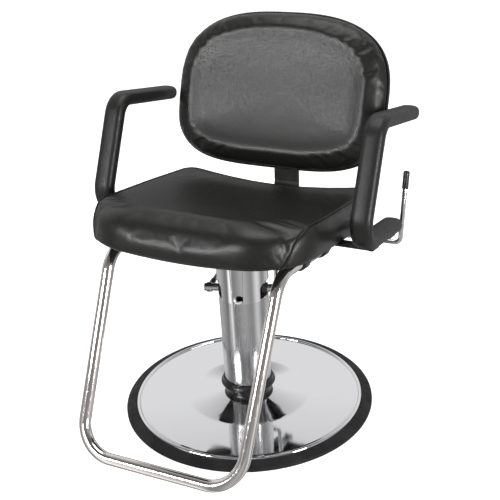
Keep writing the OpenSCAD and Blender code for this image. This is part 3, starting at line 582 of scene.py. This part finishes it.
def distance_to(points, co):
    """Each vertex's distance to a line of close points, and the nearest one."""
    best = np.full(len(co), 1e9)
    near = np.zeros(len(co), int)
    for i, p in enumerate(points):
        d = np.linalg.norm(co - np.array(p), axis=1)
        closer = d < best
        best[closer] = d[closer]
        near[closer] = i
    return best, near


def on_surface(mesh, line):
    """The line's points moved onto the mesh, with the surface's direction."""
    tree = BVHTree.FromPolygons(
        [v.co for v in mesh.vertices], [p.vertices for p in mesh.polygons]
    )
    hits = [tree.find_nearest(p) for p in line]
    return [h[0] for h in hits], [h[1] for h in hits]


def swell(made, held, pressure, limit):
    """Presses the cover out with its foam, except where it is sewn down."""
    frames = 20
    rest = coordinates(made.data).copy()
    group = made.vertex_groups.new(name="sewn")
    group.add([int(i) for i in np.nonzero(held)[0]], 1.0, "REPLACE")
    cloth = made.modifiers.new("cover", "CLOTH")
    cloth.settings.quality = 4
    cloth.settings.mass = 0.3
    cloth.settings.use_pressure = True
    cloth.settings.uniform_pressure_force = pressure
    cloth.settings.vertex_group_mass = "sewn"
    cloth.settings.effector_weights.gravity = 0
    cloth.point_cache.frame_start = 1
    cloth.point_cache.frame_end = frames
    for number in range(1, frames + 1):
        bpy.context.scene.frame_set(number)
    graph = bpy.context.evaluated_depsgraph_get()
    swollen = made.evaluated_get(graph).to_mesh()
    move = coordinates(swollen) - rest
    made.evaluated_get(graph).to_mesh_clear()
    far = np.linalg.norm(move, axis=1, keepdims=True)
    far = np.maximum(far, 1e-9)
    limit = limit * MM
    move *= limit * np.tanh(far / limit) / far
    made.modifiers.clear()
    made.vertex_groups.clear()
    bpy.context.scene.frame_set(1)
    made.data.vertices.foreach_set("co", (rest + move).astype(np.float32).ravel())
    made.data.update()


def relaxed(made, held, passes):
    """Evens out the steps that the remesh leaves, but not the seams."""
    co = coordinates(made.data).astype(float)
    edges = np.zeros(len(made.data.edges) * 2, int)
    made.data.edges.foreach_get("vertices", edges)
    edges = edges.reshape(-1, 2)
    count = np.bincount(edges.ravel(), minlength=len(co))[:, None]
    free = ~held
    for step in range(passes):
        total = np.zeros_like(co)
        np.add.at(total, edges[:, 0], co[edges[:, 1]])
        np.add.at(total, edges[:, 1], co[edges[:, 0]])
        push = 0.6 if step % 2 == 0 else -0.62
        co[free] += push * (total / count - co)[free]
    made.data.vertices.foreach_set("co", co.astype(np.float32).ravel())
    made.data.update()


def sunk_seam(made, line, depth, width):
    """Draws the cover in along a seam."""
    mesh = made.data
    co = coordinates(mesh).astype(float)
    near, _ = distance_to(line, co)
    normals = np.zeros(len(co) * 3, np.float32)
    mesh.vertices.foreach_get("normal", normals)
    fall = np.exp(-((near / (width * MM)) ** 2))[:, None]
    co -= normals.reshape(-1, 3) * fall * depth * MM
    mesh.vertices.foreach_set("co", co.astype(np.float32).ravel())
    mesh.update()


def finer(made):
    """One even subdivision, applied."""
    smooth = made.modifiers.new("finer", "SUBSURF")
    smooth.levels = smooth.render_levels = 1
    bpy.context.view_layer.update()
    graph = bpy.context.evaluated_depsgraph_get()
    mesh = bpy.data.meshes.new_from_object(made.evaluated_get(graph))
    made.modifiers.clear()
    made.data = mesh


def tube(line, radius, sides, closed=False, across=None):
    """A round cord along a line of points, without twist."""
    line = [Vector(p) for p in line]
    count = len(line)
    rings = []
    side = None
    for i, p in enumerate(line):
        if closed:
            along = line[(i + 1) % count] - line[i - 1]
        else:
            along = line[min(i + 1, count - 1)] - line[max(i - 1, 0)]
        along.normalize()
        if across is not None:
            side = (across[i] - along * across[i].dot(along)).normalized()
        elif side is None:
            side = along.orthogonal().normalized()
        else:
            side = (side - along * side.dot(along)).normalized()
        other = along.cross(side)
        ring = []
        for k in range(sides):
            a = 2 * math.pi * k / sides
            ring.append(p + side * radius * math.cos(a) + other * radius * math.sin(a))
        rings.append(ring)
    return loft(rings, looped=closed)


def seat_line(points):
    return [seat_place @ Vector(p) * MM for p in points]


def drop(x, y):
    return TOP + seat_top(x, y)


seam_half = [(0, 207), (120, 207), (200, 207), (226, 203), (241, 192), (248.6, 172)]
seam_half = [(x, y, drop(x, y)) for x, y in seam_half]
seam_half += [(x, y, drop(x, y)) for x, y in [(249, 120), (249, 40), (249, -40)]]
seam_half += [(248.5, -110, 77), (247.5, -160, 76.6), (247, -198, 73)]
seam_half += [(245, -222, 65.5), (242, -237, 54), (239, -246, 40)]
seam_half += [(235.5, -252, 26), (231, -257, 12), (226, -259, 2), (216, -258, -4)]
seam_half += [(206, -254, -5)]
seam_half = smooth_line(seam_half, 12)
seat_seam = [Vector((-p.x, p.y, p.z)) for p in reversed(seam_half)] + seam_half[1:]

COVER_VOXEL = 5
COVER_PRESSURE = 4.0
SEAT_SWELL = 7
SEWN_REACH = 4.5
SEAM_DEPTH = 1.6
seat = remeshed("seat_cushion_cover", *seat_mesh, COVER_VOXEL)
seam_points, _ = on_surface(seat.data, seat_line(seat_seam))
local = coordinates(seat.data) @ np.array(seat_place.to_3x3()) - np.array(
    seat_place.to_3x3().inverted() @ seat_place.translation
) * MM
sewn_distance, _ = distance_to(seam_points, coordinates(seat.data))
under = local[:, 2] < np.interp(local[:, 1] / MM, [-262, -245], [-15.5, 4]) * MM
seat_held = (sewn_distance < SEWN_REACH * MM) | under
relaxed(seat, np.zeros(len(local), bool), 6)
swell(seat, seat_held, COVER_PRESSURE, SEAT_SWELL)
relaxed(seat, seat_held, 4)
finer(seat)
seam_points, seam_out = on_surface(seat.data, seam_points)
sunk_seam(seat, seam_points, SEAM_DEPTH, SEWN_REACH)
seat.data.shade_smooth()
seat.data.materials.clear()
seat.data.materials.append(vinyl)
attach(seat, "seat")
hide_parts("seat_cushion")

WELT_R = 1.5
WELT_PROUD = 0.2
welt_line = [p / MM + n * WELT_PROUD for p, n in zip(seam_points, seam_out)]
piece(
    "seat_seam_cord",
    *tube(welt_line, WELT_R, 8, across=seam_out),
    vinyl,
    "seat",
    "vinyl",
)


# --------------------------------------------------------------------------
# Arms. Each is a C moulded in one shot of black self-skinning foam over a
# flat steel core, bolted through its foot to the two straps.
urethane = finish("self_skinned_foam", (0.011, 0.011, 0.0105), 0.40)
socket_of(urethane, "Specular IOR Level").default_value = 0.38
vary_gloss(urethane, pattern(urethane, "noise", 5, detail=5), 0.33, 0.52, 0.3, 0.7)
vary_colour(
    urethane,
    pattern(urethane, "noise", 3, detail=5),
    (0.008, 0.008, 0.0077),
    (0.015, 0.0148, 0.0143),
    0.3,
    0.7,
)
emboss(urethane, pattern(urethane, "noise", 40, detail=2), 0.3)
emboss(urethane, pattern(urethane, "F1", 1.0), 0.06)


def bent_line(points, bends, step):
    """A line of straight runs joined by round bends, as a bar is bent."""
    straight = 12
    points = [Vector(p) for p in points]
    made = [points[0]]
    for i in range(1, len(points) - 1):
        before = (points[i - 1] - points[i]).normalized()
        after = (points[i + 1] - points[i]).normalized()
        turn = math.pi - before.angle(after)
        reach = bends[i - 1] * math.tan(turn / 2)
        start, end = points[i] + before * reach, points[i] + after * reach
        middle = (before + after).normalized()
        centre = points[i] + middle * bends[i - 1] / math.cos(turn / 2)
        last = made[-1]
        for k in range(1, straight):
            made.append(last.lerp(start, k / straight))
        count = max(4, round(math.degrees(turn) / step))
        axis = (start - centre).cross(end - centre).normalized()
        for k in range(count + 1):
            spin = Matrix.Rotation(turn * k / count, 3, axis)
            made.append(centre + spin @ (start - centre))
    last = made[-1]
    for k in range(1, straight + 1):
        made.append(last.lerp(points[-1], k / straight))
    return made


ARM_X = 319
ARM_HALF_T, ARM_HALF_W = 17, 24
arm_line = bent_line(
    [(0, 140, 15), (0, -93, 15), (0, -17.5, 271), (0, 217, 264)], [52, 45], 4
)


def arm_section(half_t, half_w):
    """A soft-cornered oblong, half_t in the arm's plane and half_w across."""
    sides = 40
    made = []
    for k in range(sides):
        a = 2 * math.pi * k / sides
        c, s = math.cos(a), math.sin(a)
        made.append(
            (
                half_w * math.copysign(abs(c) ** (2 / 3.0), c),
                half_t * math.copysign(abs(s) ** (2 / 2.6), s),
            )
        )
    return made


def arm_mesh(side):
    rings = []
    stations = []
    first, last = arm_line[0], arm_line[-1]
    for k in range(9, 0, -1):
        a = math.radians(90 * k / 9.3)
        back = (first - arm_line[1]).normalized()
        stations.append((first + back * ARM_HALF_T * math.sin(a), math.cos(a)))
    stations += [(p, 1.0) for p in arm_line]
    for k in range(1, 10):
        a = math.radians(90 * k / 9.3)
        ahead = (last - arm_line[-2]).normalized()
        stations.append((last + ahead * ARM_HALF_T * math.sin(a), math.cos(a)))
    for i, (p, size) in enumerate(stations):
        q = stations[min(i + 1, len(stations) - 1)][0]
        o = stations[max(i - 1, 0)][0]
        along = (q - o).normalized()
        out = along.cross(Vector((1, 0, 0)))
        t = ARM_HALF_T * size**0.75
        w = ARM_HALF_W * size**0.5
        rings.append(
            [
                seat_place @ (p + Vector((side * ARM_X + x, 0, 0)) + out * y)
                for x, y in arm_section(t, w)
            ]
        )
    return loft(rings)


for side, name in ((1, "left"), (-1, "right")):
    piece(
        f"arm_{name}_moulding",
        *arm_mesh(side),
        urethane,
        "seat",
        "urethane",
        [f"arm_{name}"],
        70,
    )
wear(zinc, "arm_core_left", "arm_core_right")


# --------------------------------------------------------------------------
# Footrest. One length of chromed steel tube, bent at two corners and two
# shoulders, is held under the seat by four black saddles with small screws,
# and has a black plug in each open end.
tube_chrome = finish("chromed_tube", (0.86, 0.815, 0.79), 0.09, 1.0)
vary_gloss(tube_chrome, pattern(tube_chrome, "noise", 7, detail=5), 0.06, 0.17)
emboss(tube_chrome, pattern(tube_chrome, "noise", 5, detail=4), 0.03)
emboss(tube_chrome, pattern(tube_chrome, "noise", 40), 0.12)
FOOT_TUBE_R = 13.35
FOOT_X, FOOT_LOW_X = 202, 192
FOOT_REAR, FOOT_SHOULDER = 30, -228
FOOT_Z = -25.35
FOOT_LEG = 448
FOOT_LEAN = math.radians(19.3)
leg = Vector((0, -math.sin(FOOT_LEAN), -math.cos(FOOT_LEAN))) * FOOT_LEG
leg.x = FOOT_LOW_X - FOOT_X
shoulder = Vector((FOOT_X, FOOT_SHOULDER, FOOT_Z))
low_corner = shoulder + leg
foot_points = [
    Vector((FOOT_X, FOOT_REAR, FOOT_Z)),
    shoulder,
    low_corner,
    Vector((-low_corner.x, low_corner.y, low_corner.z)),
    Vector((-shoulder.x, shoulder.y, shoulder.z)),
    Vector((-FOOT_X, FOOT_REAR, FOOT_Z)),
]
foot_line = bent_line(foot_points, [68, 78, 78, 68], 4)
piece(
    "footrest_tube",
    *tube([seat_place @ p for p in foot_line], FOOT_TUBE_R, 40),
    tube_chrome,
    "seat",
    "chrome",
    ["footrest"],
    60,
)
wear(black_metal, "foot_clamps")
wear(zinc, "clamp_screws")
wear(gloss_black, "foot_plugs")


# --------------------------------------------------------------------------
# Hinge and recline lock. A black bracket welded behind the rails holds the
# hinge pin with its clips; the lock's tube and rod lie under the seat.
wear(black_metal, "hinge_bracket", "lock_bracket", "lever_hangers", "lock_tube")
wear(ground, "hinge_pin", "lock_rod", "lock_pin")
wear(zinc, "pin_clips")
wear(bronze, "hinge_bushes")
eased(0.6, "hinge_bracket", "lock_bracket", "lever_hangers")


# --------------------------------------------------------------------------
# Upright bar. A flat steel bar with a black powder coat, bent to follow the
# rear shell and bolted through it into the back board.
wear(black_metal, "back_upright")
eased(0.9, "back_upright")
wear(zinc, "back_bolts")


# --------------------------------------------------------------------------
# Backrest. A vinyl shell over the rear of the board, and in front of it a
# boxed cushion whose rolled edge stands a little proud of its face. A cord
# covers the line where the two meet.
back_place = (
    seat_place
    @ Matrix.Translation((0, 203, 271))
    @ Matrix.Rotation(math.radians(-10.5), 4, "X")
)
BACK_HALF, BACK_UP, BACK_DOWN, BACK_WIDEST = 270, 192, 179, 15


def back_outline(count):
    """Even points round the backrest with their outward direction."""
    dense = []
    for k in range(720):
        a = math.radians(k / 2)
        c, s = math.cos(a), math.sin(a)
        high, power = (BACK_UP, 2.75) if s >= 0 else (BACK_DOWN, 3.7)
        dense.append(
            (
                BACK_HALF * math.copysign(abs(c) ** (2 / power), c),
                BACK_WIDEST + high * math.copysign(abs(s) ** (2 / power), s),
            )
        )
    d = np.array(dense + dense[:1])
    along = np.concatenate([[0], np.cumsum(np.hypot(*np.diff(d, axis=0).T))])
    at = np.linspace(0, along[-1], count, endpoint=False)
    p = np.stack([np.interp(at, along, d[:, k]) for k in range(2)], 1)
    ahead = np.roll(p, -2, axis=0) - np.roll(p, 2, axis=0)
    out = np.stack([ahead[:, 1], -ahead[:, 0]], 1)
    out /= np.linalg.norm(out, axis=1, keepdims=True)
    return p, out


back_plan, back_out = back_outline(280)


def back_ring(inset, depth):
    return [
        back_place @ Vector((p[0] - o[0] * inset, depth, p[1] - o[1] * inset))
        for p, o in zip(back_plan, back_out)
    ]


def back_face(inset, middle_depth, rim_depth, count):
    """Rings from the middle out to inset, sunk from the rim to the middle."""
    rings = []
    for k in range(1, count):
        share = k / count
        depth = middle_depth + (rim_depth - middle_depth) * share**2.4
        rings.append(
            [
                back_place
                @ Vector(
                    (
                        (p[0] - o[0] * inset) * share,
                        depth,
                        BACK_WIDEST + (p[1] - o[1] * inset - BACK_WIDEST) * share,
                    )
                )
                for p, o in zip(back_plan, back_out)
            ]
        )
    return rings


shell_profile = [(3, 0.6), (0.5, 1.0), (-0.3, 4), (-0.3, 9), (0.6, 14), (4, 19.5)]
shell_profile += [(11, 26), (22, 33.2), (36, 40), (50, 45.4), (63, 48.6), (76, 49.8)]
shell_profile += [(88, 50)]
shell_rings = [back_ring(p.x, p.y) for p in smooth_line([(*q, 0) for q in shell_profile], 4)]
shell_rings += reversed(back_face(88, 50, 50, 8))
shell_vinyl = finish("shell_vinyl", (0.015, 0.0145, 0.014), 0.46)
vary_gloss(shell_vinyl, pattern(shell_vinyl, "noise", 6, detail=5), 0.38, 0.56, 0.3, 0.7)
vary_colour(
    shell_vinyl,
    pattern(shell_vinyl, "noise", 3, detail=5),
    (0.012, 0.0115, 0.011),
    (0.020, 0.019, 0.018),
    0.3,
    0.7,
)
emboss(shell_vinyl, pattern(shell_vinyl, "noise", 45, detail=2), 0.4)
emboss(shell_vinyl, pattern(shell_vinyl, "F1", 1.3), 0.10)
piece(
    "back_rear_shell",
    *loft(shell_rings),
    shell_vinyl,
    "back",
    "shell_vinyl",
    ["back_shell"],
    80,
)

cushion_profile = [(84, -30.6), (68, -32.6), (53, -35.2), (40, -37.4), (29, -37.6)]
cushion_profile += [(19.5, -35), (12, -30.4), (6.4, -24.2), (2.9, -17.2), (1.3, -10.4)]
cushion_profile += [(1.4, -4.8), (2.6, -1.2), (6, 0.2), (12, 0.4)]
cushion_rings = back_face(84, -26.5, -30.6, 12)
cushion_rings += [
    back_ring(p.x, p.y) for p in smooth_line([(*q, 0) for q in cushion_profile], 4)
]
BACK_SWELL = 6
back_pad = remeshed("back_cushion_cover", *loft(cushion_rings), COVER_VOXEL)
to_back = np.array(back_place.inverted().to_3x3())
back_local = (coordinates(back_pad.data) / MM) @ to_back.T + np.array(
    back_place.inverted().translation
)
back_held = back_local[:, 1] > -1.5
relaxed(back_pad, np.zeros(len(back_local), bool), 6)
swell(back_pad, back_held, COVER_PRESSURE, BACK_SWELL)
relaxed(back_pad, back_held, 4)
finer(back_pad)
back_pad.data.shade_smooth()
back_pad.data.materials.clear()
back_pad.data.materials.append(vinyl)
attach(back_pad, "back")
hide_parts("back_cushion")
BACK_CORD_R = 2.1
piece(
    "back_seam_cord",
    *tube(back_ring(1.0, 0.2), BACK_CORD_R, 8, closed=True),
    vinyl,
    "back",
    "vinyl",
)


# --------------------------------------------------------------------------
# Recline lever. A chromed rod, bent up beside the seat, whose top is dipped
# in soft black vinyl.
wear(chrome, "recline_lever")
grip_vinyl = finish("dipped_vinyl", (0.010, 0.010, 0.010), 0.30)
vary_gloss(grip_vinyl, pattern(grip_vinyl, "noise", 4, detail=4), 0.22, 0.40)
emboss(grip_vinyl, pattern(grip_vinyl, "noise", 1.5, detail=3), 0.05)
LEVER_LEAN = math.radians(5)
LEVER_LENGTH = 168
LEVER_CORNER = Vector((326, 195, -40))
upright = Vector((0, math.sin(LEVER_LEAN), math.cos(LEVER_LEAN)))
lever_tip = LEVER_CORNER + upright * LEVER_LENGTH
grip_place = (
    seat_place @ Matrix.Translation(lever_tip) @ Matrix.Rotation(-LEVER_LEAN, 4, "X")
)
grip_profile = (
    [(5.9, -39.4), (6.6, -39.6), (7.3, -39), (7.5, -37.6), (7.35, -20), (7.5, -6)]
    + bow((2.6, -2.2), 4.9, 0, 84, 8)
    + [(0.02, 2.75), (0.02, 1.0), (5.8, 0.5)]
)
piece(
    "lever_grip_sleeve",
    *turned(grip_profile, 40, grip_place),
    grip_vinyl,
    "release",
    "grip_vinyl",
    ["lever_grip"],
    50,
)


# --------------------------------------------------------------------------
# Studio. A plain pale floor in front of a plain white backdrop, a room whose
# walls are bright and dark in turn for the polished metal, soft boxes round
# the chair, and the camera.
scene = bpy.context.scene
scene.view_settings.view_transform = "Standard"
floor_paint = finish("pale_floor", (0.92, 0.92, 0.92), 0.85)
socket_of(floor_paint, "Emission Color").default_value = (1, 1, 1, 1)
socket_of(floor_paint, "Emission Strength").default_value = 0.80
floor_mesh = bpy.data.meshes.new("floor")
FLOOR_HALF = 12
floor_mesh.from_pydata(
    [
        (-FLOOR_HALF, -FLOOR_HALF, 0),
        (FLOOR_HALF, -FLOOR_HALF, 0),
        (FLOOR_HALF, FLOOR_HALF, 0),
        (-FLOOR_HALF, FLOOR_HALF, 0),
    ],
    [],
    [(0, 1, 2, 3)],
)
floor_mesh.materials.append(floor_paint)
floor = bpy.data.objects.new("floor", floor_mesh)
scene.collection.objects.link(floor)


backdrop_paint = finish("white_backdrop", (0, 0, 0), 1.0)
socket_of(backdrop_paint, "Emission Color").default_value = (1, 1, 1, 1)
socket_of(backdrop_paint, "Emission Strength").default_value = 1.2
BACKDROP_R = 11
backdrop_points, backdrop_faces = turned(bow((0, 0), BACKDROP_R, 0, 90, 30), 48)
backdrop_mesh = bpy.data.meshes.new("backdrop")
backdrop_mesh.from_pydata(backdrop_points, [], backdrop_faces)
backdrop_mesh.materials.append(backdrop_paint)
backdrop = bpy.data.objects.new("backdrop", backdrop_mesh)
scene.collection.objects.link(backdrop)
for plain in (floor, backdrop):
    plain.visible_glossy = False
    plain.visible_diffuse = False
backdrop.visible_shadow = False
backdrop.visible_transmission = False

world = bpy.data.worlds.new("studio")
scene.world = world
world.use_nodes = True


def round_ramp(turn, stops):
    """How bright the walls are all the way round, starting at the right side."""
    ramp = add(world, "ValToRGB")
    ramp.color_ramp.interpolation = "EASE"
    while len(ramp.color_ramp.elements) < len(stops):
        ramp.color_ramp.elements.new(0.5)
    for element, (place, bright) in zip(ramp.color_ramp.elements, stops):
        element.position = place
        element.color = (bright, bright, bright, 1)
    link(world, turn, ramp.inputs["Fac"])
    return ramp.outputs["Color"]


looking = add(world, "TexCoord")
turn = add(world, "TexGradient")
turn.gradient_type = "RADIAL"
link(world, looking.outputs["Generated"], turn.inputs["Vector"])
parts = add(world, "SeparateXYZ")
link(world, looking.outputs["Generated"], parts.inputs["Vector"])
low_room = round_ramp(
    turn.outputs["Fac"],
    [(0.0, 0.45), (0.11, 0.22), (0.150, 1.20), (0.195, 0.26), (0.33, 0.48)]
    + [(0.42, 0.30), (0.50, 0.80), (0.58, 0.28), (0.68, 0.60), (0.80, 0.10), (0.92, 0.50)],
)
high_room = round_ramp(
    turn.outputs["Fac"],
    [(0.0, 0.50), (0.10, 0.24), (0.40, 0.22), (0.54, 0.36), (0.66, 0.86), (0.93, 0.86)],
)
level = spread(world, parts.outputs["Z"], 0.0, 1.0, 0.12, 0.32)
mix = add(world, "MixRGB")
link(world, level, mix.inputs["Fac"])
link(world, low_room, mix.inputs["Color1"])
link(world, high_room, mix.inputs["Color2"])
roof = spread(world, parts.outputs["Z"], 1.0, 0.35, 0.55, 0.95)
link(world, mix.outputs["Color"], world.node_tree.nodes["Background"].inputs["Color"])
link(world, roof, world.node_tree.nodes["Background"].inputs["Strength"])


def softbox(name, place, aim, size, power):
    """An area light of size metres, facing aim."""
    light = bpy.data.lights.new(name, "AREA")
    light.shape = "RECTANGLE"
    light.size, light.size_y = size
    light.energy = power
    made = bpy.data.objects.new(name, light)
    made.location = place
    made.rotation_mode = "QUATERNION"
    made.rotation_quaternion = (Vector(aim) - Vector(place)).to_track_quat("-Z", "Y")
    made.visible_camera = False
    scene.collection.objects.link(made)


softbox("overhead", (0, 0.3, 3.4), (0, 0, 0), (2.0, 2.0), 42)
softbox("key", (-1.15, -2.85, 1.62), (0, 0, 0.7), (1.1, 0.55), 58)
softbox("right_side", (2.8, -1.0, 1.05), (0, 0, 0.5), (0.6, 1.2), 60)

LENS, SENSOR = 69.93, 36
ROLL = math.radians(-2.99)
CAMERA_PLACE = (0.9455, -1.8345, 1.3446)
camera_data = bpy.data.cameras.new("camera")
camera_data.lens = LENS
camera_data.sensor_width = SENSOR
camera = bpy.data.objects.new("camera", camera_data)
level_right = Vector((0.8934, 0.4492, 0))
level_up = Vector((-0.1862, 0.3704, 0.9100))
ahead = Vector((-0.4088, 0.8131, -0.4145))
camera_right = math.cos(ROLL) * level_right + math.sin(ROLL) * level_up
camera_up = -math.sin(ROLL) * level_right + math.cos(ROLL) * level_up
camera.matrix_world = Matrix.Translation(CAMERA_PLACE) @ Matrix(
    (camera_right, camera_up, -ahead)
).transposed().to_4x4()
scene.collection.objects.link(camera)
scene.camera = camera
